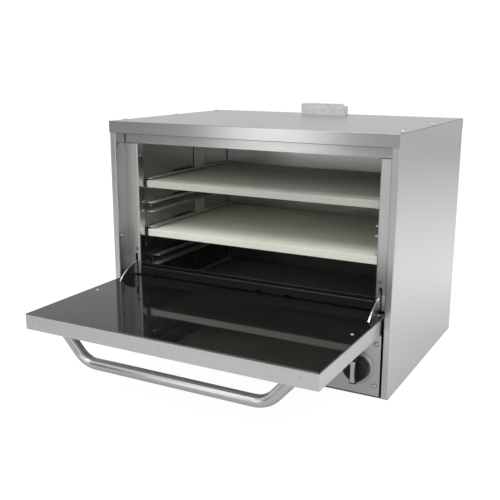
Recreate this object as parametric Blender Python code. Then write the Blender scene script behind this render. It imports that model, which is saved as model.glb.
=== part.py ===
"""Gas countertop pizza oven: folded steel cabinet, two sliding stone decks over a fixed hearth,
and a drop-down door that swings on two pins. Metres, +Z up, front towards -Y.
The origin is the centre of the cabinet's footprint, on the surface that it stands on."""

import math

import bmesh
import bpy
from mathutils import Matrix, Vector

# ---- driving dimensions -------------------------------------------------------------------
WIDTH = 0.7112          # cabinet, over the side panels
DEPTH = 0.5229          # cabinet, front strips to rear flanges
HEIGHT = 0.5593         # to the top of the cover
SHEET = 0.0012          # steel sheet
COVER_SHEET = 0.0010
BEND = 0.0012           # inside radius of a fold
GAP = 0.0003            # between pieces that touch
BEND_STEPS = 3

STRIP = 0.0161          # front face of each side panel
RECESS = 0.039          # from the front strips back to the opening's frame
FASCIA = 0.0273         # drop of the cover's front and rear flanges
FRAME_HALF = 0.3388     # lintel and stiles, between the side panels' returns
LINTEL_BACK = 0.0375
BACK_HALF = 0.352       # back panel
VENT_HALF = (0.025, 0.010, 0.002)
VENT_PITCH = (0.070, 0.014)
VENT_UP = 0.090         # lowest row of vents in the back panel

OPENING_HALF = 0.305    # half the width of the opening
OPENING_TOP = 0.506
SILL_TOP = 0.201
SILL_BACK = 0.067
LIP_BOTTOM = 0.181      # lower edge of the sill's front lip and of the stiles
CAVITY_HALF = 0.3098    # half the width between the cavity's side walls
CAVITY_BACK = 0.480
CAVITY_TOP = 0.508
CAVITY_FRONT = 0.0625
CHAMBER_BOTTOM = 0.020

PANEL_HALF = 0.3359     # control panel and door
PANEL_BOTTOM = 0.002
PANEL_TOP = 0.1415
PANEL_HEM = 0.004

DECK_HALF = 0.300
DECK_FRONT = 0.066
DECK_BACK = 0.478
DECK_THICK = 0.017
HEARTH_FRONT = 0.0705
RAIL_REACH = 0.0215     # width of a rail's flanges
RAIL_HEIGHT = 0.0235
RAIL_TOPS = (0.4177, 0.3567, 0.2957, 0.2187, 0.1272)  # the hearth's rail is the last
RAIL_FRONTS = (0.070, 0.070, 0.070, 0.091, 0.070)
RAIL_CORNER = 0.008     # radius of the flanges' front corners
SLOT_FRONT = 0.197      # vents in the cavity's walls, one above each rail
SLOT_LENGTH = 0.092
SLOT_HEIGHT = 0.010
POST_FRONT = 0.298
POST_WIDTH = 0.051

DOOR_THICK = 0.0334
DOOR_FACE = 0.178       # height of the door's inner face when it lies open
DOOR_CLOSED_FACE = 0.036  # the same face when shut, behind the front plane
DOOR_BOTTOM = 0.1443
DOOR_TOP = 0.530
DOOR_REACH = 0.3295     # how far the open door stands out in front of the cabinet
# the hinge axis that turns the closed door into the open one
HINGE_BACK = (DOOR_TOP - DOOR_REACH - DOOR_FACE + DOOR_CLOSED_FACE) / 2
HINGE_UP = DOOR_FACE - DOOR_CLOSED_FACE + HINGE_BACK
DOOR_REAR = HINGE_BACK + HINGE_UP - DOOR_BOTTOM   # back edge when open
DOOR_FRONT = HINGE_BACK + HINGE_UP - DOOR_TOP     # front edge when open
PIN_RADIUS = 0.004
PIN_INNER = 0.3130      # inner end of a hinge pin, from the middle plane
ARM_X = 0.317
ARM_THICK = 0.003
ARM_SLOT_HALF = 0.0033
ARM_SLOT_TOP = 0.0515   # above the stiles' lower edge
ARM_ARC_RADIUS = 0.1158
ARM_ARC_BACK = 0.0528
ARM_ARC_UP = 0.098
ARM_FOOT = 0.160
ARM_REAR = 0.050

HANDLE_RADIUS = 0.0125
HANDLE_BACK = -0.285    # the handle's plane, behind the front plane
HANDLE_FOOT = 0.2725
HANDLE_GRIP = 0.0785
HANDLE_CORNER = 0.2135
HANDLE_BEND = 0.060

KNOB_X = 0.286
KNOB_UP = 0.061
KNOB_RADIUS = 0.028
KNOB_BACK = -0.0045
KNOB_FRONT = -0.020
GRIP_FRONT = -0.0305
GRIP_HALF = 0.0075      # the grip bar's half width and half height
GRIP_TALL = 0.0265
POINTER_HALF = 0.0058
POINTER_TALL = 0.0235
BEZEL_RADIUS = 0.036
SHAFT_RADIUS = 0.003

FLUE_X = -0.007
FLUE_WIDTH = 0.126
FLUE_HEIGHT = 0.0295
FLUE_BACK = 0.470       # front face of the flue's deflector
FLUE_RETURN = 0.0232    # depth of the deflector's side returns
FLUE_STEP = 0.0065      # the returns stop this far below the front plate's top
FLUE_CHAMFER = 0.006
DUCT_BOTTOM = 0.425
DUCT_FRONT = 0.482      # inside faces of the duct
DUCT_BACK = 0.517

BURNER_X = 0.130
BURNER_UP = 0.062
BURNER_RADIUS = 0.017
SUPPLY_RADIUS = 0.0107  # half-inch pipe
SUPPLY_HOLE = 0.0125
MANIFOLD_BACK = 0.022
VALVE_BACK = 0.048
VALVE_UP = 0.050


def at(x, back, up):
    """A point from its distance behind the front plane."""
    return Vector((x, back - DEPTH / 2, up))


HINGE = at(0, HINGE_BACK, HINGE_UP)
KNOB_AXIS = at(KNOB_X, 0, KNOB_UP)


# ---- scene helpers ------------------------------------------------------------------------
def clear_scene():
    for found in list(bpy.data.objects):
        bpy.data.objects.remove(found)


def material(name, colour, roughness, metallic):
    made = bpy.data.materials.new(name)
    made.use_nodes = True
    shader = made.node_tree.nodes["Principled BSDF"]
    shader.inputs["Base Color"].default_value = (*colour, 1)
    shader.inputs["Roughness"].default_value = roughness
    shader.inputs["Metallic"].default_value = metallic
    return made


def pivot(name, place):
    """An empty that stands for a joint, with the moving pieces as its children."""
    empty = bpy.data.objects.new(name, None)
    empty.location = place
    bpy.context.collection.objects.link(empty)
    return empty


def finish(name, shape, finish_of, parent=None, smooth=False):
    """Turns a bmesh in world space into a named object, with its origin on its parent."""
    bmesh.ops.recalc_face_normals(shape, faces=shape.faces)
    mesh = bpy.data.meshes.new(name)
    shape.to_mesh(mesh)
    shape.free()
    if parent:
        mesh.transform(Matrix.Translation(-parent.location))
    if smooth:
        mesh.shade_smooth()
        mesh.set_sharp_from_angle(angle=math.radians(35))
    if finish_of:
        mesh.materials.append(finish_of)
    made = bpy.data.objects.new(name, mesh)
    made.parent = parent
    bpy.context.collection.objects.link(made)
    return made


def cut(target, shape):
    """Subtracts a bmesh in world space from an object."""
    cutter = finish(target.name + "_cutter", shape, None)
    cutter.hide_render = True
    cutter.display_type = "WIRE"
    modifier = target.modifiers.new("cut", "BOOLEAN")
    modifier.operation = "DIFFERENCE"
    modifier.solver = "EXACT"
    modifier.object = cutter


# ---- shapes -------------------------------------------------------------------------------
def add_box(shape, low, high):
    size = high - low
    place = Matrix.Translation((low + high) / 2) @ Matrix.Diagonal((*size, 1))
    bmesh.ops.create_cube(shape, size=1, matrix=place)


def boxes(*pairs):
    shape = bmesh.new()
    for low, high in pairs:
        add_box(shape, low, high)
    return shape


def add_prism(shape, outline, axis, start, end):
    """An outline in the plane across an axis, drawn out from start to end along it."""
    order = {"X": (2, 0, 1), "Y": (0, 2, 1), "Z": (0, 1, 2)}[axis]

    def corner(u, v, w):
        values = (u, v, w)
        return Vector([values[k] for k in order])

    rings = [[shape.verts.new(corner(u, v, w)) for u, v in outline] for w in (start, end)]
    shape.faces.new(rings[0])
    shape.faces.new(rings[1])
    count = len(outline)
    for k in range(count):
        after = (k + 1) % count
        shape.faces.new((rings[0][k], rings[0][after], rings[1][after], rings[1][k]))


def prism(outline, axis, start, end):
    shape = bmesh.new()
    add_prism(shape, outline, axis, start, end)
    return shape


def add_turned(shape, profile, centre, direction, sides):
    """A profile of (distance along the axis, radius) pairs, turned about the axis."""
    frame = Vector(direction).to_track_quat("Z", "Y").to_matrix()
    rings = []
    for along, radius in profile:
        ring = []
        for k in range(sides):
            angle = 2 * math.pi * (k + 0.5) / sides
            local = Vector((radius * math.cos(angle), radius * math.sin(angle), along))
            ring.append(shape.verts.new(centre + frame @ local))
        rings.append(ring)
    for near, far in zip(rings, rings[1:]):
        for k in range(sides):
            after = (k + 1) % sides
            shape.faces.new((near[k], near[after], far[after], far[k]))
    shape.faces.new(rings[0])
    shape.faces.new(rings[-1])


def turned(profile, centre, direction, sides=24):
    shape = bmesh.new()
    add_turned(shape, profile, centre, direction, sides)
    return shape


def add_screw(shape, place, direction, head=0.0040, height=0.0020, shank=0.0020, length=0.005):
    """A pan-head screw whose head rests a hair above the point and looks along direction."""
    profile = [(-length, shank), (GAP, shank), (GAP, head), (height * 0.6, head),
               (height, head * 0.55)]
    add_turned(shape, profile, place, direction, 10)


def screw_holes(places, direction, radius=0.0024, depth=0.004):
    shape = bmesh.new()
    for place in places:
        add_turned(shape, [(-depth, radius), (depth, radius)], place, direction, 8)
    return shape


def filleted(points, radii):
    """A polyline with each inner corner rounded by its radius."""
    out = [points[0]]
    for before, here, after, radius in zip(points, points[1:], points[2:], radii):
        into = (here - before).normalized()
        away = (after - here).normalized()
        turn = math.acos(max(-1, min(1, into.dot(away))))
        reach = radius * math.tan(turn / 2)
        start = here - into * reach
        side = 1 if into.cross(away) > 0 else -1
        normal = Vector((-into.y, into.x)) * side
        centre = start + normal * radius
        for k in range(BEND_STEPS + 1):
            angle = side * turn * k / BEND_STEPS
            spoke = start - centre
            out.append(centre + Matrix.Rotation(angle, 2) @ spoke)
    out.append(points[-1])
    return out


def folded(path, sheet=SHEET, bend=BEND):
    """The outline of a folded sheet: its outer face follows the path, its metal lies to the left."""
    points = [Vector(p) for p in path]
    ways = [(b - a).normalized() for a, b in zip(points, points[1:])]
    lefts = [Vector((-w.y, w.x)) for w in ways]
    inner = [points[0] + lefts[0] * sheet]
    outer_radii = []
    inner_radii = []
    for here, one, two, before, after in zip(points[1:], lefts, lefts[1:], ways, ways[1:]):
        inner.append(here + (one + two) * (sheet / (1 + one.dot(two))))
        inside = before.cross(after) > 0
        outer_radii.append(bend + sheet if inside else bend)
        inner_radii.append(bend if inside else bend + sheet)
    inner.append(points[-1] + lefts[-1] * sheet)
    outline = filleted(points, outer_radii)
    return outline + filleted(inner, inner_radii)[::-1]


def flip(shape):
    """The mirror image across the oven's middle plane."""
    bmesh.ops.scale(shape, vec=(-1, 1, 1), verts=shape.verts)
    return shape


def placed(outline, along_y=False):
    """Moves the distances behind the front plane in an outline to the oven's own Y."""
    shift = Vector((-DEPTH / 2, 0)) if along_y else Vector((0, -DEPTH / 2))
    return [Vector(p) + shift for p in outline]


def both_sides():
    return (("left", -1), ("right", 1))


# ---- cabinet ------------------------------------------------------------------------------
def side_panels(steel):
    outer = WIDTH / 2
    inner = outer - STRIP
    path = [(inner, RECESS - 0.0008), (inner, 0), (outer, 0), (outer, DEPTH), (inner, DEPTH)]
    top = HEIGHT - COVER_SHEET - GAP
    for side, sign in both_sides():
        shape = prism(placed(folded(path)), "Z", SHEET + GAP, top)
        finish("side_panel_" + side, flip(shape) if sign < 0 else shape, steel)


def top_cover(steel):
    over = COVER_SHEET + GAP
    low = HEIGHT - FASCIA
    path = [(DEPTH + over, low), (DEPTH + over, HEIGHT), (-over, HEIGHT), (-over, low)]
    outline = placed(folded(path, COVER_SHEET, GAP), along_y=True)
    made = finish("top_cover", prism(outline, "X", -WIDTH / 2, WIDTH / 2), steel)
    edge = FLUE_WIDTH / 2 - 0.004
    corner = at(FLUE_X - edge, DUCT_FRONT, HEIGHT - 0.005)
    far_corner = at(FLUE_X + edge, DUCT_BACK, HEIGHT + 0.005)
    cut(made, boxes((corner, far_corner)))


def base_pan(galvanised):
    finish("base_pan", boxes((at(-WIDTH / 2, 0, 0), at(WIDTH / 2, DEPTH, SHEET))), galvanised)


def back_panel(galvanised):
    face = DEPTH - SHEET - GAP
    low = at(-BACK_HALF, face - SHEET, SHEET + GAP)
    high = at(BACK_HALF, face, HEIGHT - COVER_SHEET - 0.001)
    made = finish("back_panel", boxes((low, high)), galvanised)
    openings = bmesh.new()
    through = [(-0.01, SUPPLY_HOLE), (0.01, SUPPLY_HOLE)]
    add_turned(openings, through, at(KNOB_X, face, VALVE_UP), (0, 1, 0), 16)
    for row in range(4):
        for column in range(-3, 4):
            middle = at(column * VENT_PITCH[0], face, VENT_UP + row * VENT_PITCH[1])
            add_box(openings, middle - Vector(VENT_HALF), middle + Vector(VENT_HALF))
    cut(made, openings)


def front_frame(steel):
    low = at(-FRAME_HALF, LINTEL_BACK, OPENING_TOP)
    high = at(FRAME_HALF, LINTEL_BACK + SHEET, HEIGHT - COVER_SHEET - 0.001)
    finish("front_lintel", boxes((low, high)), steel)
    path = [(OPENING_HALF, CAVITY_FRONT - 0.0005), (OPENING_HALF, RECESS), (FRAME_HALF, RECESS)]
    for side, sign in both_sides():
        shape = prism(placed(folded(path, bend=0.002)), "Z", LIP_BOTTOM, CAVITY_TOP - GAP)
        made = finish("front_stile_" + side, flip(shape) if sign < 0 else shape, steel)
        middle = at(sign * ARM_X, RECESS, LIP_BOTTOM)
        low = middle + Vector((-ARM_SLOT_HALF, -0.005, -0.01))
        high = middle + Vector((ARM_SLOT_HALF, 0.005, ARM_SLOT_TOP))
        cut(made, boxes((low, high)))


def front_sill(steel):
    back = SILL_BACK
    path = [(back, SILL_TOP - 0.012), (back, SILL_TOP), (RECESS, SILL_TOP), (RECESS, LIP_BOTTOM)]
    half = OPENING_HALF - 0.0004
    made = finish("front_sill", prism(placed(folded(path), along_y=True), "X", -half, half), steel)
    notches = bmesh.new()
    start = RECESS - 0.003 - DEPTH / 2
    for x, half_width in ((-0.263, 0.0032), (0.026, 0.007), (0.099, 0.007)):
        outline = oval(x, LIP_BOTTOM + 0.001, half_width, 0.003)
        add_prism(notches, outline, "Y", start, start + 0.006)
    cut(made, notches)


def oval(x, up, half_width, radius):
    """A slot's outline: two half circles joined by straight sides."""
    outline = []
    for end, first in ((1, -90), (-1, 90)):
        for k in range(9):
            angle = math.radians(first + 180 * k / 8)
            shift = end * (half_width - radius)
            outline.append((x + shift + radius * math.cos(angle), up + radius * math.sin(angle)))
    return outline


# ---- cavity -------------------------------------------------------------------------------
def cavity_liners(polished):
    outer = CAVITY_HALF + SHEET
    for side, sign in both_sides():
        low = at(CAVITY_HALF, CAVITY_FRONT, CHAMBER_BOTTOM)
        shape = boxes((low, at(outer, CAVITY_BACK, CAVITY_TOP)))
        made = finish("cavity_wall_" + side, flip(shape) if sign < 0 else shape, polished)
        slots = bmesh.new()
        for top in RAIL_TOPS[:4]:
            start = at(sign * CAVITY_HALF - 0.004, SLOT_FRONT, top + 0.0005)
            add_box(slots, start, start + Vector((0.008, SLOT_LENGTH, SLOT_HEIGHT)))
        cut(made, slots)
    low = at(-outer, CAVITY_BACK + GAP, CHAMBER_BOTTOM)
    back = boxes((low, at(outer, CAVITY_BACK + GAP + SHEET, CAVITY_TOP)))
    rear = finish("cavity_back", back, polished)
    holes = bmesh.new()
    for column in range(4):
        low = at(FLUE_X - 0.052 + column * 0.028, CAVITY_BACK - 0.004, 0.480)
        add_box(holes, low, low + Vector((0.020, 0.010, 0.016)))
    middle = at(KNOB_X, CAVITY_BACK, VALVE_UP)
    add_turned(holes, [(-0.01, SUPPLY_HOLE), (0.01, SUPPLY_HOLE)], middle, (0, 1, 0), 16)
    cut(rear, holes)
    low = at(-outer, RECESS + SHEET + GAP, CAVITY_TOP + GAP)
    high = at(outer, CAVITY_BACK + SHEET, CAVITY_TOP + GAP + SHEET)
    finish("cavity_ceiling", boxes((low, high)), polished)


def chamber_front(galvanised):
    low = at(-CAVITY_HALF + 0.0004, SILL_BACK + 0.0004, CHAMBER_BOTTOM)
    high = at(CAVITY_HALF - 0.0004, SILL_BACK + 0.0004 + SHEET, SILL_TOP - 0.0005)
    made = finish("chamber_front", boxes((low, high)), galvanised)
    holes = bmesh.new()
    for sign in (-1, 1):
        place = at(sign * BURNER_X, SILL_BACK, BURNER_UP)
        add_turned(holes, [(-0.01, 0.0182), (0.01, 0.0182)], place, (0, 1, 0), 20)
    middle = at(KNOB_X, SILL_BACK, VALVE_UP)
    add_turned(holes, [(-0.01, SUPPLY_HOLE), (0.01, SUPPLY_HOLE)], middle, (0, 1, 0), 16)
    cut(made, holes)


def insulation(wool):
    """Slabs between the cavity and the cabinet's sides and cover."""
    back = CAVITY_BACK - 0.001
    for side, sign in both_sides():
        shape = boxes((at(0.325, 0.082, CHAMBER_BOTTOM), at(0.3535, back, 0.520)))
        finish("insulation_" + side, flip(shape) if sign < 0 else shape, wool)
    finish("insulation_top", boxes((at(-0.310, 0.045, 0.511), at(0.310, back, 0.548))), wool)


def wall_posts(polished):
    face = CAVITY_HALF - GAP
    low = RAIL_TOPS[4] - RAIL_HEIGHT
    high = CAVITY_TOP - GAP
    rear = POST_FRONT + POST_WIDTH
    for side, sign in both_sides():
        shape = boxes((at(face - SHEET, POST_FRONT, low), at(face, rear, high)))
        finish("wall_post_" + side, flip(shape) if sign < 0 else shape, polished)


def rails(polished):
    """Channels that hold the decks' side edges, with rounded front corners."""
    web = CAVITY_HALF - SHEET - 2 * GAP
    tip = web - RAIL_REACH
    for level, (top, front) in enumerate(zip(RAIL_TOPS, RAIL_FRONTS), 1):
        bottom = top - RAIL_HEIGHT
        outline = folded([(tip, bottom), (web, bottom), (web, top), (tip, top)], bend=0.001)
        start = front - DEPTH / 2
        name = f"rail_{level}_" if level < 5 else "hearth_rail_"
        for side, sign in both_sides():
            shape = prism(outline, "Y", start, CAVITY_BACK - 0.001 - DEPTH / 2)
            made = finish(name + side, flip(shape) if sign < 0 else shape, polished)
            corner = prism(corner_waste(tip, start), "Z", bottom - 0.002, top + 0.002)
            cut(made, flip(corner) if sign < 0 else corner)


def corner_waste(tip, start):
    """What comes off a flange's front corner to leave it rounded."""
    centre = Vector((tip + RAIL_CORNER, start + RAIL_CORNER))
    arc = []
    for k in range(7):
        angle = math.radians(180 + 15 * k)
        arc.append(centre + RAIL_CORNER * Vector((math.cos(angle), math.sin(angle))))
    beyond = 0.002
    low = Vector((tip - beyond, start - beyond))
    return [Vector((low.x, arc[0].y)), *arc, Vector((arc[-1].x, low.y)), low]


def decks(stone):
    places = (("upper", 0, DECK_FRONT), ("middle", 2, DECK_FRONT), ("hearth", 4, HEARTH_FRONT))
    for name, level, front in places:
        bottom = RAIL_TOPS[level] - RAIL_HEIGHT + SHEET + GAP
        rest = pivot(f"deck_{name}_slide", at(0, DECK_FRONT, bottom)) if level < 4 else None
        shape = boxes((at(-DECK_HALF, front, bottom), at(DECK_HALF, DECK_BACK, bottom + DECK_THICK)))
        finish("deck_" + name, shape, stone, rest)


# ---- gas train ----------------------------------------------------------------------------
def burners(iron):
    for side, sign in both_sides():
        centre = at(sign * BURNER_X, 0, BURNER_UP)
        profile = [(0.0545, 0.0135), (0.064, 0.0135), (0.075, BURNER_RADIUS), (0.440, BURNER_RADIUS)]
        finish("burner_" + side, turned(profile, centre, (0, 1, 0), 20), iron, smooth=True)


def manifold(galvanised):
    """The gas pipe behind the control panel, with an orifice spud into each burner's mouth."""
    length = 0.145 + 0.2655
    start = at(-0.145, MANIFOLD_BACK, BURNER_UP)
    pipe = turned([(0, 0.0085), (length, 0.0085)], start, (1, 0, 0), 16)
    made = finish("gas_manifold", pipe, galvanised, smooth=True)
    spuds = bmesh.new()
    for sign in (-1, 1):
        centre = at(sign * BURNER_X, 0, BURNER_UP)
        profile = [(MANIFOLD_BACK, 0.005), (0.046, 0.005), (0.046, 0.003), (0.0541, 0.002)]
        add_turned(spuds, profile, centre, (0, 1, 0), 6)
    join(made, spuds)


def gas_supply(iron):
    front = 0.0623
    start = at(KNOB_X, front, VALVE_UP)
    length = DEPTH + 0.018 - front
    profile = [(0, SUPPLY_RADIUS), (length, SUPPLY_RADIUS)]
    finish("gas_inlet_pipe", turned(profile, start, (0, 1, 0), 16), iron, smooth=True)


def thermostat(aluminium):
    low = at(KNOB_X - 0.020, 0.009, KNOB_UP - 0.021)
    high = at(KNOB_X + 0.020, 0.0335, KNOB_UP + 0.021)
    finish("thermostat_body", boxes((low, high)), aluminium)


def safety_valve(aluminium, plastic):
    low = at(KNOB_X - 0.024, 0.034, VALVE_UP - 0.020)
    high = at(KNOB_X + 0.024, 0.062, VALVE_UP + 0.025)
    valve = finish("safety_valve", boxes((low, high)), aluminium)
    mouth = at(KNOB_X - 0.024, VALVE_BACK, VALVE_UP)
    cut(valve, turned([(-0.002, 0.0064), (0.0075, 0.0064)], mouth, (1, 0, 0), 16))
    slide = pivot("reset_slide", mouth)
    profile = [(-0.012, 0.0045), (-0.011, 0.0058), (0.002, 0.0058)]
    shape = turned(profile, mouth, (1, 0, 0), 16)
    finish("reset_button", shape, plastic, slide, smooth=True)


def thermostat_bulb(brass):
    start = at(0.302, 0.110, 0.455)
    profile = [(0, 0.003), (0.003, 0.0045), (0.147, 0.0045), (0.150, 0.003)]
    finish("thermostat_bulb", turned(profile, start, (0, 1, 0), 12), brass, smooth=True)


def pilot_burner(steel):
    profile = [(0, 0.003), (0.022, 0.003), (0.022, 0.0045), (0.030, 0.0045)]
    shape = turned(profile, at(-0.085, 0.0760, 0.058), (0, 0, 1), 10)
    finish("pilot_burner", shape, steel, smooth=True)


# ---- flue ---------------------------------------------------------------------------------
def flue_duct(galvanised):
    """A channel with a floor, closed in front by the cavity's back and its vents."""
    half = FLUE_WIDTH / 2 - 0.003
    wall = 0.001
    low = at(FLUE_X - half, DUCT_FRONT, DUCT_BOTTOM)
    high = at(FLUE_X + half, DUCT_BACK + wall, HEIGHT - COVER_SHEET - 2 * GAP)
    made = finish("flue_duct", boxes((low, high)), galvanised)
    inside_low = low + Vector((wall, -0.002, 2 * wall))
    cut(made, boxes((inside_low, high + Vector((-wall, -wall, 0.01)))))


def flue_deflector(galvanised):
    """A chamfered front plate with a return down each side, over the duct's mouth."""
    half = FLUE_WIDTH / 2
    base = HEIGHT + GAP
    top = base + FLUE_HEIGHT
    rear = FLUE_BACK + FLUE_RETURN
    left = FLUE_X - half
    right = FLUE_X + half
    path = [(left, rear), (left, FLUE_BACK), (right, FLUE_BACK), (right, rear)]
    returns = prism(placed(folded(path, COVER_SHEET)), "Z", base, top - FLUE_STEP)
    made = finish("flue_deflector", returns, galvanised)
    shoulder = top - FLUE_CHAMFER
    plate = [(left, base), (right, base), (right, shoulder), (right - FLUE_CHAMFER, top),
             (left + FLUE_CHAMFER, top), (left, shoulder)]
    start = FLUE_BACK - DEPTH / 2
    join(made, prism(plate, "Y", start - 0.0002, start + COVER_SHEET))


def join(target, shape):
    """Adds a bmesh in world space to an object as one solid."""
    other = finish(target.name + "_joined", shape, None)
    other.hide_render = True
    other.display_type = "WIRE"
    modifier = target.modifiers.new("join", "BOOLEAN")
    modifier.operation = "UNION"
    modifier.solver = "EXACT"
    modifier.object = other


# ---- control panel ------------------------------------------------------------------------
def panel_screw_places():
    return [at(sign * 0.325, 0, up) for sign in (-1, 1) for up in (0.026, 0.120)]


def control_panel(steel):
    low_hem = PANEL_HEM + 0.006
    path = [(PANEL_HEM, PANEL_TOP), (0, PANEL_TOP), (0, PANEL_BOTTOM), (low_hem, PANEL_BOTTOM)]
    outline = placed(folded(path), along_y=True)
    made = finish("control_panel", prism(outline, "X", -PANEL_HALF, PANEL_HALF), steel)
    holes = screw_holes(panel_screw_places(), (0, 1, 0))
    add_turned(holes, [(-0.005, 0.006), (0.005, 0.006)], KNOB_AXIS, (0, 1, 0), 16)
    cut(made, holes)


def panel_screws(steel):
    for place in panel_screw_places():
        side = "left" if place.x < 0 else "right"
        end = "lower" if place.z < PANEL_TOP / 2 else "upper"
        shape = bmesh.new()
        add_screw(shape, place, (0, -1, 0), length=0.0035)
        finish(f"panel_screw_{side}_{end}", shape, steel, smooth=True)


def bezel(steel):
    profile = [(-0.0038, BEZEL_RADIUS - 0.003), (-0.002, BEZEL_RADIUS), (-GAP, BEZEL_RADIUS)]
    made = finish("knob_bezel", turned(profile, KNOB_AXIS, (0, 1, 0), 36), steel, smooth=True)
    cut(made, turned([(-0.006, 0.006), (0.006, 0.006)], KNOB_AXIS, (0, 1, 0), 16))


def knob(plastic, metal):
    axis = pivot("knob_axis", KNOB_AXIS)
    sides = 40
    shape = bmesh.new()
    rings = []
    for along, shrink in ((KNOB_BACK, 0.0), (KNOB_FRONT + 0.002, 0.0010), (KNOB_FRONT, 0.0035)):
        ring = []
        for k in range(sides):
            angle = 2 * math.pi * k / sides
            radius = KNOB_RADIUS - shrink - 0.0011 * (1 + math.cos(8 * angle)) / 2
            offset = Vector((radius * math.cos(angle), along, radius * math.sin(angle)))
            ring.append(shape.verts.new(KNOB_AXIS + offset))
        rings.append(ring)
    for near, far in zip(rings, rings[1:]):
        for k in range(sides):
            after = (k + 1) % sides
            shape.faces.new((near[k], near[after], far[after], far[k]))
    shape.faces.new(rings[0])
    shape.faces.new(rings[-1])
    body = finish("knob", shape, plastic, axis, smooth=True)
    grip = boxes((KNOB_AXIS + Vector((-GRIP_HALF, GRIP_FRONT, -GRIP_TALL)),
                  KNOB_AXIS + Vector((GRIP_HALF, KNOB_FRONT + 0.004, GRIP_TALL))))
    bmesh.ops.bevel(grip, geom=[e for e in grip.edges if is_upright_front(e)], offset=0.0015,
                    segments=2, affect="EDGES", profile=0.5)
    join(body, grip)
    low = KNOB_AXIS + Vector((-POINTER_HALF, GRIP_FRONT - 0.0015, -POINTER_TALL))
    high = KNOB_AXIS + Vector((POINTER_HALF, GRIP_FRONT - GAP, POINTER_TALL))
    finish("knob_pointer", boxes((low, high)), metal, axis)
    shaft = [(-0.0150, SHAFT_RADIUS), (0.0087, SHAFT_RADIUS)]
    finish("thermostat_shaft", turned(shaft, KNOB_AXIS, (0, 1, 0), 12), metal, axis, smooth=True)
    bore = SHAFT_RADIUS + 0.0004
    cut(body, turned([(-0.0155, bore), (0.0, bore)], KNOB_AXIS, (0, 1, 0), 12))


def is_upright_front(edge):
    """The grip's two long front edges."""
    one, two = (v.co for v in edge.verts)
    upright = abs(one.z - two.z) > 0.01
    return upright and one.y < KNOB_AXIS.y + GRIP_FRONT + 0.001


# ---- door ---------------------------------------------------------------------------------
def door_skin(steel, hinge):
    outside = DOOR_FACE - DOOR_THICK
    shape = boxes((at(-PANEL_HALF, DOOR_FRONT, outside), at(PANEL_HALF, DOOR_REAR, DOOR_FACE)))
    made = finish("door_outer_skin", shape, steel, hinge)
    inner = PANEL_HALF - SHEET
    low = at(-inner, DOOR_FRONT + SHEET, outside + SHEET)
    cut(made, boxes((low, at(inner, DOOR_REAR - SHEET, DOOR_FACE + 0.01))))
    holes = bmesh.new()
    bore = [(-0.004, PIN_RADIUS + 0.0006), (0.004, PIN_RADIUS + 0.0006)]
    for sign in (-1, 1):
        add_turned(holes, bore, at(sign * PANEL_HALF, HINGE_BACK, HINGE_UP), (1, 0, 0), 16)
    cut(made, holes)


def door_liner(polished, hinge):
    half = PANEL_HALF - SHEET - 0.0006
    rear = DOOR_REAR - SHEET - 0.0006
    low = at(-half, DOOR_FRONT + SHEET + 0.0006, DOOR_FACE - SHEET)
    made = finish("door_liner", boxes((low, at(half, rear, DOOR_FACE))), polished, hinge)
    holes = bmesh.new()
    for sign in (-1, 1):
        middle = at(sign * ARM_X, -0.033, DOOR_FACE)
        clear = ARM_THICK / 2 + 0.0005
        add_box(holes, middle - Vector((clear, 0, 0.004)), middle + Vector((clear, 0.2, 0.004)))
    cut(made, holes)


def door_wool(wool, hinge):
    low = at(-0.308, DOOR_FRONT + 0.006, DOOR_FACE - 0.0245)
    high = at(0.308, DOOR_REAR - 0.003, DOOR_FACE - 0.0016)
    finish("door_insulation", boxes((low, high)), wool, hinge)


def hinge_arms(polished, hinge):
    """Curved plates on the door's inner face that pass through the slots in the stiles."""
    centre = Vector((ARM_ARC_BACK, ARM_ARC_UP))
    start = math.asin((ARM_FOOT - ARM_ARC_UP) / ARM_ARC_RADIUS)
    end = math.acos((ARM_ARC_BACK - ARM_REAR) / ARM_ARC_RADIUS)
    steps = 12
    outline = []
    for k in range(steps + 1):
        angle = math.pi - start - (end - start) * k / steps
        outline.append(centre + ARM_ARC_RADIUS * Vector((math.cos(angle), math.sin(angle))))
    outline += [Vector((ARM_REAR, ARM_FOOT + 0.006)), Vector((ARM_REAR - 0.006, ARM_FOOT))]
    for side, sign in both_sides():
        inner = sign * ARM_X - ARM_THICK / 2
        shape = prism(placed(outline, along_y=True), "X", inner, inner + ARM_THICK)
        made = finish("hinge_arm_" + side, shape, polished, hinge)
        hole = [(-0.004, PIN_RADIUS + 0.0005), (0.004, PIN_RADIUS + 0.0005)]
        cut(made, turned(hole, at(sign * ARM_X, HINGE_BACK, HINGE_UP), (1, 0, 0), 16))


def hinge_pins(steel):
    """Fixed pins, each with a round foot on the side panel's return."""
    foot = WIDTH / 2 - STRIP - GAP
    neck = foot - 0.0016
    foot_radius = 0.009
    for side, sign in both_sides():
        profile = [(PIN_INNER, PIN_RADIUS), (neck, PIN_RADIUS),
                   (neck, foot_radius), (foot, foot_radius)]
        shape = turned(profile, at(0, HINGE_BACK, HINGE_UP), (1, 0, 0), 16)
        finish("hinge_pin_" + side, flip(shape) if sign < 0 else shape, steel, smooth=True)


def handle_path():
    """The handle's centre line across its plane, from one foot to the other."""
    top = DOOR_FACE - DOOR_THICK - GAP
    corners = [(-HANDLE_FOOT, top), (-HANDLE_CORNER, HANDLE_GRIP),
               (HANDLE_CORNER, HANDLE_GRIP), (HANDLE_FOOT, top)]
    points = [Vector(p) for p in corners]
    out = [points[0]]
    steps = 8
    for before, here, after in zip(points, points[1:], points[2:]):
        into = (here - before).normalized()
        away = (after - here).normalized()
        turn = into.angle_signed(away) * -1
        reach = HANDLE_BEND * math.tan(abs(turn) / 2)
        start = here - into * reach
        centre = start + Vector((-into.y, into.x)) * HANDLE_BEND
        for k in range(steps + 1):
            out.append(centre + Matrix.Rotation(turn * k / steps, 2) @ (start - centre))
    out.append(points[-1])
    return out


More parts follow.
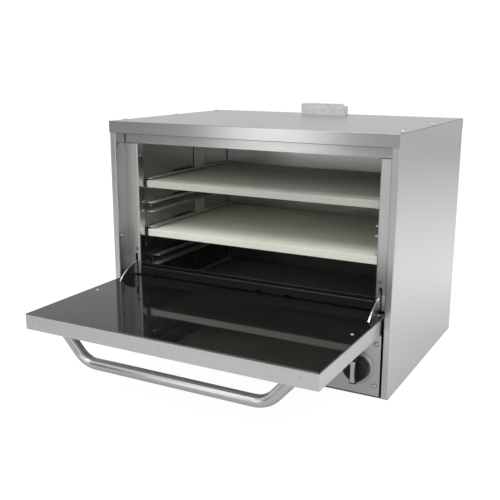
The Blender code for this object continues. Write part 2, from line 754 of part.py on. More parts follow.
def door_handle(steel, hinge):
    path = handle_path()
    plane = HANDLE_BACK - DEPTH / 2
    sides = 20
    shape = bmesh.new()
    rings = []
    for k, here in enumerate(path):
        before = path[max(k - 1, 0)]
        after = path[min(k + 1, len(path) - 1)]
        way = (after - before).normalized()
        normal = Vector((-way.y, way.x))
        ring = []
        for j in range(sides):
            angle = 2 * math.pi * (j + 0.5) / sides
            spot = here + normal * (HANDLE_RADIUS * math.cos(angle))
            if k in (0, len(path) - 1):
                spot += way * ((here.y - spot.y) / way.y)
            ring.append(shape.verts.new((spot.x, plane + HANDLE_RADIUS * math.sin(angle), spot.y)))
        rings.append(ring)
    for near, far in zip(rings, rings[1:]):
        for j in range(sides):
            after = (j + 1) % sides
            shape.faces.new((near[j], near[after], far[after], far[j]))
    shape.faces.new(rings[0])
    shape.faces.new(rings[-1])
    finish("door_handle", shape, steel, hinge, smooth=True)


def main():
    clear_scene()
    brushed = material("brushed_steel", (0.56, 0.56, 0.55), 0.36, 1.0)
    polished = material("polished_steel", (0.50, 0.50, 0.48), 0.10, 1.0)
    galvanised = material("galvanised_steel", (0.55, 0.56, 0.56), 0.45, 0.9)
    zinc = material("zinc_screws", (0.62, 0.62, 0.60), 0.30, 1.0)
    stone = material("deck_stone", (0.80, 0.79, 0.70), 0.85, 0.0)
    wool = material("mineral_wool", (0.16, 0.15, 0.12), 0.95, 0.0)
    iron = material("cast_iron", (0.08, 0.08, 0.08), 0.65, 0.6)
    brass = material("brass", (0.70, 0.52, 0.22), 0.35, 1.0)
    aluminium = material("cast_aluminium", (0.60, 0.60, 0.60), 0.45, 1.0)
    black = material("black_plastic", (0.02, 0.02, 0.02), 0.40, 0.0)
    red = material("red_plastic", (0.55, 0.03, 0.02), 0.45, 0.0)
    satin = material("satin_chrome", (0.65, 0.67, 0.68), 0.25, 1.0)

    side_panels(brushed)
    top_cover(brushed)
    base_pan(galvanised)
    back_panel(galvanised)
    front_frame(brushed)
    front_sill(polished)
    cavity_liners(polished)
    chamber_front(galvanised)
    insulation(wool)
    wall_posts(polished)
    rails(polished)
    decks(stone)
    burners(iron)
    manifold(galvanised)
    gas_supply(iron)
    thermostat(aluminium)
    safety_valve(aluminium, red)
    thermostat_bulb(brass)
    pilot_burner(satin)
    flue_duct(galvanised)
    flue_deflector(galvanised)
    control_panel(brushed)
    bezel(brushed)
    knob(black, satin)
    panel_screws(zinc)

    hinge = pivot("door_hinge", HINGE)
    door_skin(brushed, hinge)
    door_liner(polished, hinge)
    door_wool(wool, hinge)
    hinge_arms(polished, hinge)
    hinge_pins(zinc)
    door_handle(brushed, hinge)


main()
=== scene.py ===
"""Looks for the gas countertop pizza oven: materials, fasteners, seams, light and camera."""

import math
import random
from collections import namedtuple

import bmesh
import bpy
from mathutils import Euler, Matrix, Vector


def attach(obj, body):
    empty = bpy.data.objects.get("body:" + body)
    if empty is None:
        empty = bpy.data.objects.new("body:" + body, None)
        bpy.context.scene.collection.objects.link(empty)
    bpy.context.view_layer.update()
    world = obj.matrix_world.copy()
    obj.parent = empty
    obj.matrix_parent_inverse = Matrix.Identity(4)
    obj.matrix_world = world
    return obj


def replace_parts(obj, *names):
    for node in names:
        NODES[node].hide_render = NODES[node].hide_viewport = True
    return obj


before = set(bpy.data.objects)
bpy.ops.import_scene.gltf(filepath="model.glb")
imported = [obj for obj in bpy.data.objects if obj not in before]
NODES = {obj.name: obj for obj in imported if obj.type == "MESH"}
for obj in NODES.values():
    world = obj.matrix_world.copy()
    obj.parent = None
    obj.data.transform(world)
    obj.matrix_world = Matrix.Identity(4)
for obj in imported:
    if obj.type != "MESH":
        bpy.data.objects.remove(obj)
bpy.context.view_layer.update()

DRAW = random.Random(5)
SIDES = (("left", -1), ("right", 1))

# ---- places, in metres: x from the middle, back from the front plane, up from the feet ----
HALF_DEPTH = 0.26145
COVER_TOP = 0.5593
COVER_SCREW_X = 0.3455
COVER_SCREW_BACKS = (0.050, 0.268, 0.482)
REAR_FACE = 0.5229
REAR_SCREW_X = 0.3466
REAR_SCREW_UPS = (0.05, 0.20, 0.35, 0.50)
RETURN_FACE = 0.3395        # inner face of a side panel's return
RETURN_SCREW_BACK = 0.012
RETURN_SCREW_UPS = (0.279, 0.503)
STILE_SCREW = (0.3147, 0.039, 0.2446)
STILE_BEND = 0.3388         # where a stile meets the side panel's return
WALL_FACE = 0.3098          # inner face of a cavity wall
WALL_SCREWS = ((0.071, 0.249), (0.400, 0.474))
FRONT_WALL_SCREW = (0.3050, 0.0500, 0.475)
RAIL_SCREW = (0.3068, 0.092, 0.345)
RAIL_WEB = 0.3080
RAIL_TIP = 0.2865           # inner edge of a rail's flanges
RAIL_BACK = 0.479
RAIL_TOPS = (0.4177, 0.3567, 0.2957, 0.2187)
RAIL_FRONTS = (0.070, 0.070, 0.070, 0.091)
RAIL_DEPTH = 0.0223         # from a rail's top to its lower flange
VENT = (0.1968, 0.2892)     # front and back ends of the vents over the rails
CAVITY_TOP = 0.506
VENT_LIP_X = 0.3104
VENT_LIP_UPS = (0.0055, 0.0107)     # over a rail's top
COVER_LIP_UPS = (0.5311, 0.5319)
STILE_MIDDLE = 0.3219
STILE_HALF = 0.0169
POST_SEAM_X = 0.3091
REAR_SEAM_X = 0.3090
LINER_HALF = 0.3358
LINER_SIDE = 0.3347
LINER_UPS = (0.1769, 0.1782)
DECK_FRONT = 0.0661
DECK_HALF = 0.3
PANEL_SCREW_X = 0.325
PANEL_SCREW_UPS = (0.026, 0.120)
COVER_HEAD = (0.0052, 0.0042)       # radius and height of a screw's head
REAR_HEAD = (0.0040, 0.0019)
RETURN_HEAD = (0.0042, 0.0022)
WALL_HEAD = (0.0034, 0.0016)
LINER_HEAD = (0.0036, 0.0016)
SMALL_HEAD = (0.0030, 0.0012)
PANEL_HEAD = (0.0044, 0.0026)
SHADOW_RING_HEIGHT = 0.0002
KNOB_X = 0.286
KNOB_UP = 0.061
POINTER_HALF = 0.0042       # half width of the knob's pointer at its middle
POINTER_TALL = 0.0235
LINER_FACE = 0.178          # upper face of the open door
LINER_SCREWS = ((0.3145, -0.119), (0.3225, 0.018))
DOOR_FRONT = -0.3295
DOOR_HALF = 0.3359
RIVET_UP = 0.164
RIVET_X = 0.298
SIDE_RIVET_BACK = -0.029
LOW_SHADE_START = 0.235          # the cavity carries painted shade from here down
LOW_SHADE_END = 0.275

# ---- studio: metres, degrees and millimetres of lens ----
CAMERA_PLACE = (0.80214, -1.71507, 0.69078)
CAMERA_TURN = (76.287, -0.1685, 28.193)
CAMERA_LENS = 54.86
FLOOR_REACH = 12
DOME_RADIUS = 14
DARK_FLAG = (-0.588, -0.809, 0)     # the direction of the studio's one dark side


# ---- node helpers -------------------------------------------------------------------------
class Graph:
    """A material under construction, with short calls for its patterns and sums."""

    def __init__(self, name):
        self.material = bpy.data.materials.new(name)
        self.material.use_nodes = True
        self.tree = self.material.node_tree
        self.shader = self.tree.nodes["Principled BSDF"]
        self.place = self.tree.nodes.new("ShaderNodeTexCoord").outputs["Object"]

    def node(self, kind, **values):
        """A new node with its settings."""
        made = self.tree.nodes.new(kind)
        for key, value in values.items():
            setattr(made, key, value)
        return made

    def link(self, start, end):
        self.tree.links.new(start, end)

    def set(self, **values):
        """Even values of the whole surface."""
        for key, value in values.items():
            self.shader.inputs[key.replace("_", " ")].default_value = value

    def stretched(self, scale):
        """The place on the oven, with each axis scaled."""
        mapping = self.node("ShaderNodeMapping")
        mapping.inputs["Scale"].default_value = scale
        self.link(self.place, mapping.inputs["Vector"])
        return mapping.outputs["Vector"]

    def noise(self, vector, scale, detail=4.0, roughness=0.6, distortion=0.0):
        made = self.node("ShaderNodeTexNoise")
        made.inputs["Scale"].default_value = scale
        made.inputs["Detail"].default_value = detail
        made.inputs["Roughness"].default_value = roughness
        made.inputs["Distortion"].default_value = distortion
        self.link(vector, made.inputs["Vector"])
        return made.outputs["Fac"]

    def spread(self, value, low, high, start=0.3, end=0.7):
        """Maps a value from start..end onto low..high."""
        made = self.node("ShaderNodeMapRange")
        made.inputs["From Min"].default_value = start
        made.inputs["From Max"].default_value = end
        made.inputs["To Min"].default_value = low
        made.inputs["To Max"].default_value = high
        self.link(value, made.inputs["Value"])
        return made.outputs["Result"]

    def ramp(self, value, *stops):
        """Turns a value into a colour, by (value, colour) stops."""
        made = self.node("ShaderNodeValToRGB")
        points = made.color_ramp.elements
        while len(points) < len(stops):
            points.new(0.5)
        for point, (place, colour) in zip(points, stops):
            point.position = place
            point.color = (*colour, 1)
        self.link(value, made.inputs["Fac"])
        return made.outputs["Color"]

    def blend(self, factor, one, two, kind="MIX"):
        """Mixes or multiplies two colours."""
        made = self.node("ShaderNodeMix", data_type="RGBA", blend_type=kind)
        given = ((made.inputs["Factor"], factor), (made.inputs["A"], one), (made.inputs["B"], two))
        for socket, value in given:
            if isinstance(value, (int, float, tuple)):
                socket.default_value = value
            else:
                self.link(value, socket)
        return made.outputs["Result"]

    def sum(self, one, two, kind="ADD"):
        """Adds, multiplies or compares two values."""
        made = self.node("ShaderNodeMath", operation=kind)
        for socket, value in zip(made.inputs, (one, two)):
            if isinstance(value, (int, float)):
                socket.default_value = value
            else:
                self.link(value, socket)
        return made.outputs["Value"]

    def bump(self, height, distance, strength):
        """Fine relief from a height pattern."""
        made = self.node("ShaderNodeBump")
        made.inputs["Distance"].default_value = distance
        made.inputs["Strength"].default_value = strength
        self.link(height, made.inputs["Height"])
        return made.outputs["Normal"]

    def out(self, socket, value):
        self.link(value, self.shader.inputs[socket])


def grey(value, warmth=0.0):
    """A grey of one value, a little short of blue when it is warm."""
    return (value, value, value * (1 - warmth))


def axes(g, output="Object"):
    """A point's position, or its normal, split into X, Y and Z."""
    split = g.node("ShaderNodeSeparateXYZ")
    g.link(g.place.node.outputs[output], split.inputs["Vector"])
    return split.outputs


def scaled(g, share, colour, factor):
    """Multiplies a colour, as far as a share from 0 to 1 says."""
    return g.blend(share, colour, g.blend(1.0, colour, (factor,) * 3 + (1,), "MULTIPLY"))


def rivet_rings(g, colour, marks):
    """Draws the thin dark ring round each flush rivet."""
    near = None
    for mark in marks:
        one = g.node("ShaderNodeVectorMath", operation="DISTANCE")
        g.link(g.place, one.inputs[0])
        one.inputs[1].default_value = mark
        away = one.outputs["Value"]
        near = g.sum(near, away, "MINIMUM") if near else away
    ring = g.ramp(g.sum(near, 100.0, "MULTIPLY"),
                  (0.20, grey(1.0)), (0.24, grey(0.55)), (0.31, grey(1.0)))
    return g.blend(1.0, colour, ring, "MULTIPLY")


# A stretch of a sheet, along one axis and above a lowest height, where tone and roughness change; the
# tone change is painted light or shade.
Zone = namedtuple("Zone", "axis start end tone matt lowest")


def brushed(name, tone, roughness, grain, edge=1.0, wear=1.0, streak=0.6, marks=(), zone=None):
    """Stainless sheet with fine straight scratches along one axis."""
    g = Graph(name)
    across, along = 1400.0, 9.0
    scale = [along if axis == grain else across for axis in "XYZ"]
    fine = g.noise(g.stretched(scale), 1.0, 4.0, 0.7)
    coarse = g.noise(g.stretched([s * 0.15 for s in scale]), 1.0, 3.0, 0.6)
    cloud = g.noise(g.stretched((1, 1, 1)), 6.0, 3.0, 0.5)
    mixed = g.sum(g.sum(fine, 0.65, "MULTIPLY"), g.sum(coarse, 0.35, "MULTIPLY"))
    colour = g.ramp(mixed, (0.30, grey(tone * (1 - 0.07 * wear), 0.01)), (0.52, grey(tone, 0.01)),
                    (0.75, grey(tone * (1 + 0.06 * wear), 0.01)))
    shade = g.ramp(cloud, (0.30, grey(1 - 0.03 * wear)), (0.70, grey(1.0)))
    colour = g.blend(1.0, colour, shade, "MULTIPLY")
    polish = g.spread(cloud, roughness, roughness + 0.03 * wear)
    matt = g.sum(g.spread(mixed, -0.03 * wear, 0.04 * wear), polish)
    if marks:
        colour = rivet_rings(g, colour, marks)
    # the zone paints light or shade: it scales the tone over one stretch of the sheet
    if zone:
        parts = axes(g)
        share = g.spread(parts[zone.axis], 0.0, 1.0, zone.start, zone.end)
        if zone.lowest:
            high = g.spread(parts["Z"], 0.0, 1.0, zone.lowest - 0.0002, zone.lowest)
            share = g.sum(share, high, "MULTIPLY")
        colour = scaled(g, share, colour, zone.tone)
        matt = g.sum(matt, g.spread(share, 1.0, zone.matt, 0.0, 1.0), "MULTIPLY")
    g.out("Base Color", colour)
    g.out("Roughness", matt)
    g.out("Normal", g.bump(mixed, 0.00003, 0.35 * wear))
    turned = g.node("ShaderNodeTangent", direction_type="RADIAL", axis=grain)
    g.out("Tangent", turned.outputs["Tangent"])
    g.set(Metallic=1.0, Anisotropic=streak, Specular_Tint=(*grey(edge), 1))
    return g.material


def polished(name, tone, roughness, warmth):
    """Smooth sheet with faint smears and rolling lines."""
    g = Graph(name)
    smears = g.noise(g.stretched((5, 22, 9)), 1.0, 5.0, 0.6, 0.6)
    fine = g.noise(g.stretched((500, 30, 500)), 1.0, 3.0, 0.6)
    colour = g.ramp(smears, (0.30, grey(tone * 0.90, warmth)), (0.65, grey(tone, warmth)))
    g.out("Base Color", colour)
    polish = g.spread(smears, roughness, roughness + 0.05)
    g.out("Roughness", g.sum(polish, g.spread(fine, 0.0, 0.025)))
    g.out("Normal", g.bump(g.noise(g.stretched((1, 1, 1)), 9.0, 2.0, 0.4), 0.0012, 0.10))
    g.set(Metallic=1.0)
    return g.material


def painted_shade_steel(name, tone, roughness, dark, start=LOW_SHADE_START, end=LOW_SHADE_END, tops=None):
    """Smooth sheet with painted shade below start, at its full tone above end.

    tops paints a highlight: it brightens the faces that look up, and dulls them.
    """
    g = Graph(name)
    warmth = 0.03
    smears = g.noise(g.stretched((5, 9, 22)), 1.0, 5.0, 0.6, 0.6)
    fine = g.noise(g.stretched((300, 20, 700)), 1.0, 4.0, 0.6)
    height = g.sum(axes(g)["Z"], g.spread(smears, -0.012, 0.012))
    ease = g.node("ShaderNodeMapRange", interpolation_type="SMOOTHSTEP")
    ease.inputs["From Min"].default_value = start
    ease.inputs["From Max"].default_value = end
    g.link(height, ease.inputs["Value"])
    # heat is painted shade here: the dark tone below start stands for the little light low in the
    # cavity
    heat = g.ramp(ease.outputs["Result"], (0.0, grey(dark, warmth)), (1.0, grey(tone, warmth)))
    marks = g.ramp(smears, (0.30, grey(0.90)), (0.65, grey(1.0)))
    colour = g.blend(1.0, heat, marks, "MULTIPLY")
    polish = g.spread(smears, roughness - 0.03, roughness + 0.04)
    matt = g.sum(polish, g.spread(fine, 0.0, 0.04))
    if tops:
        share = g.spread(axes(g, "Normal")["Z"], 0.0, 1.0, 0.6, 0.8)
        colour = scaled(g, share, colour, tops)
        matt = g.sum(matt, g.sum(share, 0.40, "MULTIPLY"))
    g.out("Base Color", colour)
    g.out("Roughness", matt)
    g.out("Normal", g.bump(fine, 0.00006, 0.4))
    g.set(Metallic=1.0)
    return g.material


def enamel(name):
    """Glossy near-black lining with faint wipe marks."""
    g = Graph(name)
    smears = g.noise(g.stretched((5, 22, 9)), 1.0, 5.0, 0.6, 0.6)
    specks = g.noise(g.stretched((1, 1, 1)), 500.0, 3.0, 0.5)
    g.out("Base Color", g.ramp(smears, (0.30, grey(0.006)), (0.70, grey(0.011))))
    g.out("Roughness", g.sum(g.spread(smears, 0.02, 0.045), g.spread(specks, 0.0, 0.01)))
    g.out("Normal", g.bump(g.noise(g.stretched((1, 1, 1)), 9.0, 2.0, 0.4), 0.0012, 0.06))
    g.set(IOR=1.24)
    return g.material


def galvanised(name, tone):
    """Zinc-coated sheet with its crystal spangle."""
    g = Graph(name)
    cells = g.node("ShaderNodeTexVoronoi", feature="F1")
    cells.inputs["Scale"].default_value = 190.0
    g.link(g.stretched((1, 1, 1)), cells.inputs["Vector"])
    split = g.node("ShaderNodeSeparateColor")
    g.link(cells.outputs["Color"], split.inputs["Color"])
    cloud = g.noise(g.stretched((1, 1, 1)), 30.0, 4.0, 0.6)
    pick = g.sum(g.sum(split.outputs["Red"], 0.6, "MULTIPLY"), g.sum(cloud, 0.4, "MULTIPLY"))
    g.out("Base Color", g.ramp(pick, (0.10, grey(tone * 0.88)), (0.85, grey(tone * 1.08))))
    g.out("Roughness", g.spread(split.outputs["Green"], 0.30, 0.52, 0.0, 1.0))
    g.out("Normal", g.bump(pick, 0.0002, 0.3))
    g.set(Metallic=0.95)
    return g.material


def plated(name, tone, roughness):
    """Small bright plated pieces such as screws and pins."""
    g = Graph(name)
    marks = g.noise(g.stretched((1, 1, 1)), 900.0, 4.0, 0.6)
    cloud = g.noise(g.stretched((1, 1, 1)), 160.0, 3.0, 0.5)
    g.out("Base Color", g.ramp(cloud, (0.30, grey(tone * 0.80)), (0.70, grey(tone))))
    g.out("Roughness", g.spread(marks, roughness, roughness + 0.14))
    g.out("Normal", g.bump(marks, 0.00005, 0.5))
    g.set(Metallic=1.0)
    return g.material


def stone(name, shade, rim=None):
    """Pale cordierite: matt, fine-grained, with small pits and soft patches of tone.

    The last argument paints light and shade on the front face: a factor at its left and at its right
    end.
    """
    g = Graph(name)
    whole = g.stretched((1, 1, 1))
    grain = g.noise(whole, 900.0, 5.0, 0.7)
    patches = g.noise(whole, 9.0, 5.0, 0.6)
    specks = g.noise(whole, 420.0, 2.0, 0.4)
    tones = ((0.25, (0.80, 0.80, 0.70)), (0.55, (0.86, 0.865, 0.77)), (0.80, (0.84, 0.84, 0.74)))
    toned = [(stop, tuple(shade * part for part in tone)) for stop, tone in tones]
    colour = g.ramp(patches, *toned)
    pale = g.ramp(grain, (0.30, grey(0.92)), (0.70, grey(1.0)))
    dark = g.ramp(specks, (0.24, (0.62, 0.58, 0.50)), (0.31, (1, 1, 1)))
    colour = g.blend(1.0, g.blend(1.0, colour, pale, "MULTIPLY"), dark, "MULTIPLY")
    # painted light and shade on the front face, scaled from its left end to its right
    if rim:
        parts = axes(g)
        front, behind = at(0, DECK_FRONT, 0).y, at(0, DECK_FRONT + 0.001, 0).y
        share = g.spread(parts["Y"], 1.0, 0.0, front, behind)
        face_light_and_shade = g.spread(parts["X"], rim[0], rim[1], -DECK_HALF, DECK_HALF)
        colour = g.blend(share, colour, g.blend(1.0, colour, face_light_and_shade, "MULTIPLY"))
    g.out("Base Color", colour)
    g.out("Roughness", g.spread(grain, 0.72, 0.92))
    rough = g.sum(g.sum(grain, 0.5, "MULTIPLY"), g.spread(specks, -0.8, 0.5, 0.24, 0.34))
    g.out("Normal", g.bump(rough, 0.00035, 0.5))
    g.set(Metallic=0.0)
    return g.material


def wool(name):
    """Mineral wool: brown-grey fibres in soft lumps."""
    g = Graph(name)
    fibres = g.noise(g.stretched((60, 60, 400)), 1.0, 6.0, 0.8, 1.5)
    lumps = g.noise(g.stretched((1, 1, 1)), 60.0, 4.0, 0.6)
    g.out("Base Color", g.ramp(fibres, (0.3, (0.16, 0.155, 0.13)), (0.7, (0.30, 0.29, 0.24))))
    g.out("Roughness", g.spread(lumps, 0.88, 1.0))
    g.out("Normal", g.bump(g.sum(fibres, lumps), 0.004, 0.8))
    return g.material


def iron(name):
    """Cast iron, rough and browned in places by heat."""
    g = Graph(name)
    cast = g.noise(g.stretched((1, 1, 1)), 260.0, 6.0, 0.7)
    heat = g.noise(g.stretched((1, 1, 1)), 22.0, 4.0, 0.6)
    g.out("Base Color", g.ramp(heat, (0.3, (0.045, 0.043, 0.042)), (0.7, (0.12, 0.10, 0.09))))
    g.out("Roughness", g.spread(cast, 0.50, 0.75))
    g.out("Normal", g.bump(cast, 0.0005, 0.7))
    g.set(Metallic=0.75)
    return g.material


def brass(name):
    """Drawn brass with a thin uneven film."""
    g = Graph(name)
    film = g.noise(g.stretched((60, 10, 60)), 1.0, 5.0, 0.6)
    g.out("Base Color", g.ramp(film, (0.3, (0.50, 0.33, 0.13)), (0.7, (0.76, 0.57, 0.28))))
    g.out("Roughness", g.spread(film, 0.22, 0.45))
    g.out("Normal", g.bump(film, 0.0001, 0.4))
    g.set(Metallic=1.0)
    return g.material


def plastic(name, dark, light, roughness, shine=0.5):
    """Moulded plastic with a fine pebble and slight handling shine."""
    g = Graph(name)
    pebble = g.noise(g.stretched((1, 1, 1)), 1400.0, 3.0, 0.5)
    wear = g.noise(g.stretched((1, 1, 1)), 55.0, 4.0, 0.6)
    g.out("Base Color", g.ramp(wear, (0.3, dark), (0.7, light)))
    polish = g.spread(wear, roughness - 0.08, roughness + 0.08)
    g.out("Roughness", g.sum(polish, g.spread(pebble, 0.0, 0.05)))
    g.out("Normal", g.bump(pebble, 0.00008, 0.6))
    g.set(Specular_IOR_Level=shine)
    return g.material


def floor_finish(name, tone, front_glow, rear_glow, far=1.0, near=1.0):
    """A pale matt sweep, lit a little from below, more towards the rear right."""
    g = Graph(name)
    mottle = g.noise(g.stretched((1, 1, 1)), 1.6, 3.0, 0.5)
    reach = g.node("ShaderNodeVectorMath", operation="LENGTH")
    g.link(g.place, reach.inputs[0])
    # far and near paint shade: the sweep darkens far away, and close to the oven as a painted contact
    # shadow
    shade = g.sum(g.spread(reach.outputs["Value"], 1.0, far, 1.0, 4.5),
                  g.spread(reach.outputs["Value"], near, 1.0, 0.40, 0.95), "MULTIPLY")
    pale = g.ramp(mottle, (0.3, grey(tone)), (0.7, grey(tone * 1.04)))
    g.out("Base Color", g.blend(1.0, pale, shade, "MULTIPLY"))
    along = g.node("ShaderNodeVectorMath", operation="DOT_PRODUCT")
    along.inputs[1].default_value = (0.5, 0.866, 0)
    g.link(g.place, along.inputs[0])
    glow = g.spread(along.outputs["Value"], front_glow, rear_glow, -1.2, 0.2)
    g.out("Emission Strength", g.sum(glow, shade, "MULTIPLY"))
    g.set(Roughness=0.9)
    g.shader.inputs["Emission Color"].default_value = (1, 1, 1, 1)
    g.shader.inputs["Specular IOR Level"].default_value = 0.0
    return g.material


# ---- mesh helpers -------------------------------------------------------------------------
def piece(name, shape, finish, body, smooth=35):
    """A named piece made from a shape, which moves with one body of the oven."""
    bmesh.ops.recalc_face_normals(shape, faces=shape.faces)
    mesh = bpy.data.meshes.new(name)
    shape.to_mesh(mesh)
    shape.free()
    mesh.shade_smooth()
    mesh.set_sharp_from_angle(angle=math.radians(smooth))
    mesh.materials.append(finish)
    made = bpy.data.objects.new(name, mesh)
    bpy.context.scene.collection.objects.link(made)
    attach(made, body)
    return made


def paint(finish, *nodes):
    """Gives parts of the oven their material."""
    for node in nodes:
        if not NODES[node].material_slots:
            NODES[node].data.materials.append(finish)
        for one in NODES[node].material_slots:
            one.material = finish


def round_edges(width, segments, angle, *nodes):
    """Softens the sharp folds and edges of the oven's parts."""
    for node in nodes:
        join = NODES[node].modifiers.new("join", "WELD")
        join.merge_threshold = 0.00001
        made = NODES[node].modifiers.new("edge", "BEVEL")
        made.width = width
        made.segments = segments
        made.limit_method = "ANGLE"
        made.angle_limit = math.radians(angle)
        made.use_clamp_overlap = True
        made.harden_normals = True


def at(x, back, up):
    """A point from its distance behind the cabinet's front plane."""
    return Vector((x, back - HALF_DEPTH, up))


def close_rings(shape, rings):
    """Joins rings of equally many points into one closed skin."""
    for one, two in zip(rings, rings[1:]):
        for j in range(len(one)):
            after = (j + 1) % len(one)
            shape.faces.new((one[j], one[after], two[after], two[j]))
    shape.faces.new(rings[0][::-1])
    shape.faces.new(rings[-1])


def add_block(shape, low, high):
    """A plain block between two opposite corners."""
    place = Matrix.Translation((low + high) / 2) @ Matrix.Diagonal((*(high - low), 1))
    bmesh.ops.create_cube(shape, size=1, matrix=place)


def add_head(shape, direction, size, recess):
    """A fastener's domed head at the origin, with its driver recess."""
    radius, height = size
    narrow = 0.20 if recess == "slot" else 0.13
    frame_of = Vector(direction).to_track_quat("Z", "Y").to_matrix()
    sectors = 24
    shares = (1.0, 1.0, 0.93, 0.80, 0.62, 0.48, 0.34, 0.20, 0.09)
    rings = []
    for k, share in enumerate(shares):
        ring = []
        for j in range(sectors):
            angle = 2 * math.pi * j / sectors
            x, y = share * math.cos(angle), share * math.sin(angle)
            dome = math.sqrt(1 - share * share)
            level = height * (0.45 + 0.55 * dome) if k else 0.0
            if recess == "cross" and share < 0.5 and min(abs(x), abs(y)) < narrow:
                level -= height * 0.45
            if recess == "slot" and share < 0.9 and abs(x) < narrow:
                level -= height * 0.55
            ring.append(shape.verts.new(frame_of @ Vector((radius * x, radius * y, level))))
        rings.append(ring)
    close_rings(shape, rings)


def heads(name, places, direction, finish, body, size, recess="cross"):
    """One piece that holds every head of a row, turned a little differently each."""
    shape = bmesh.new()
    for place in places:
        one = bmesh.new()
        add_head(one, direction, size, recess)
        turn = Matrix.Rotation(DRAW.uniform(0, math.pi / 2), 4, Vector(direction))
        bmesh.ops.transform(one, matrix=Matrix.Translation(Vector(place)) @ turn, verts=one.verts)
        mesh = bpy.data.meshes.new("head")
        one.to_mesh(mesh)
        one.free()
        shape.from_mesh(mesh)
        bpy.data.meshes.remove(mesh)
    return piece(name, shape, finish, body, smooth=50)


def mirrored(place, s):
    """A point given for the right side, on the side that s says."""
    x, back, up = place
    return at(s * x, back, up)


def strip(x, half_width, backs, ups):
    """The two opposite corners of a thin strip round a plane at x."""
    return at(x - half_width, backs[0], ups[0]), at(x + half_width, backs[1], ups[1])


def seams(name, body, finish, pairs):
    """Thin strips that close the gaps between sheets, or show them as painted shadow in a dark finish.
    """
    shape = bmesh.new()
    for low, high in pairs:
        add_block(shape, low, high)
    return piece(name, shape, finish, body)


def rail_edges(name, side, top, front, finish):
    """The cut edges of a rail's two flanges, with their rounded front corners, as proud strips; their
    pale finish is partly bare metal and partly painted highlight.
    """
    corner, sheet, proud = 0.008, 0.0012, 0.00015
    path = [(RAIL_WEB, front, 0, -1), (RAIL_TIP + corner, front, 0, -1)]
    for k in range(1, 6):
        angle = math.radians(18 * k)
        across, along = -math.sin(angle), -math.cos(angle)
        x, back = RAIL_TIP + corner * (1 + across), front + corner * (1 + along)
        path.append((x, back, across, along))
    path.append((RAIL_TIP, RAIL_BACK, -1, 0))
    rim = ((0, 0), (proud, 0.0002), (proud, sheet - 0.0002), (0, sheet))
    shape = bmesh.new()
    for low in (top - sheet, top - RAIL_DEPTH - sheet):
        rings = []
        for x, back, across, along in path:
            ring = [at(side * (x + out * across), back + out * along, low + up) for out, up in rim]
            rings.append([shape.verts.new(place) for place in ring])
        close_rings(shape, rings)
    half = sheet / 2
    ups = (top - RAIL_DEPTH, top - sheet)
    add_block(shape, *strip(side * (RAIL_WEB - half), half, (front - proud, front), ups))
    return piece(name, shape, finish, "cabinet")


def pointer_plate(finish):
    """The knob's pointer: a satin strip that narrows towards its middle."""
    centre = at(KNOB_X, 0, KNOB_UP)
    shape = bmesh.new()
    rings = []
    for back, inset in ((-0.0306, 0.0), (-0.0316, 0.0), (-0.0320, 0.0004)):
        ring = []
        for side in (1, -1):
            for k in range(13):
                up = side * (k / 6 - 1)
                half = POINTER_HALF + 0.0016 * up * up - inset
                offset = Vector((side * half, back, up * (POINTER_TALL - inset)))
                ring.append(shape.verts.new(centre + offset))
        rings.append(ring)
    close_rings(shape, rings)
    return piece("knob_pointer_plate", shape, finish, "control_knob")


# ---- stage --------------------------------------------------------------------------------
def make_camera():
    """The view from the front right, a little above the cabinet."""
    data = bpy.data.cameras.new("camera")
    data.sensor_width = 36.0
    data.lens = CAMERA_LENS
    data.clip_start = 0.05
    data.clip_end = 60
    camera = bpy.data.objects.new("camera", data)
    camera.location = CAMERA_PLACE
    camera.rotation_euler = Euler([math.radians(angle) for angle in CAMERA_TURN])
    bpy.context.scene.collection.objects.link(camera)
    bpy.context.scene.camera = camera


def area_light(name, place, aim, size, power):
    """A rectangular lamp that looks at a point."""
    data = bpy.data.lights.new(name, "AREA")
    data.shape = "RECTANGLE"
    data.size, data.size_y = size
    data.energy = power
    light = bpy.data.objects.new(name, data)
    light.location = place
    light.rotation_euler = (Vector(aim) - Vector(place)).to_track_quat("-Z", "Y").to_euler()
    bpy.context.scene.collection.objects.link(light)


def sky(tree, towards, start, end, low, high):
    """A smooth change of the world's brightness with the angle from one direction."""
    place = tree.nodes.new("ShaderNodeTexCoord").outputs["Generated"]
    angle = tree.nodes.new("ShaderNodeVectorMath")
    angle.operation = "DOT_PRODUCT"
    angle.inputs[1].default_value = Vector(towards).normalized()
    tree.links.new(place, angle.inputs[0])
    ease = tree.nodes.new("ShaderNodeMapRange")
    ease.interpolation_type = "SMOOTHSTEP"
    ease.inputs["From Min"].default_value = start
    ease.inputs["From Max"].default_value = end
    ease.inputs["To Min"].default_value = low
    ease.inputs["To Max"].default_value = high
    tree.links.new(angle.outputs["Value"], ease.inputs["Value"])
    return ease.outputs["Result"]


def stage_piece(name, shape, finish, level=0.0):
    """Adds a shape to the studio round the oven."""
    mesh = bpy.data.meshes.new(name)
    shape.to_mesh(mesh)
    shape.free()
    mesh.materials.append(finish)
    made = bpy.data.objects.new(name, mesh)
    made.location.z = level
    bpy.context.scene.collection.objects.link(made)
    return made


def plain_floor(name, level, finish):
    """A wide level floor."""
    shape = bmesh.new()
    bmesh.ops.create_grid(shape, x_segments=8, y_segments=8, size=FLOOR_REACH)
    return stage_piece(name, shape, finish, level)


def backdrop_dome(finish):
    """A plain pale surround that only the camera sees."""
    shape = bmesh.new()
    bmesh.ops.create_uvsphere(shape, u_segments=48, v_segments=24, radius=DOME_RADIUS)
    dome = stage_piece("backdrop", shape, finish)
    dome.data.shade_smooth()
    return dome


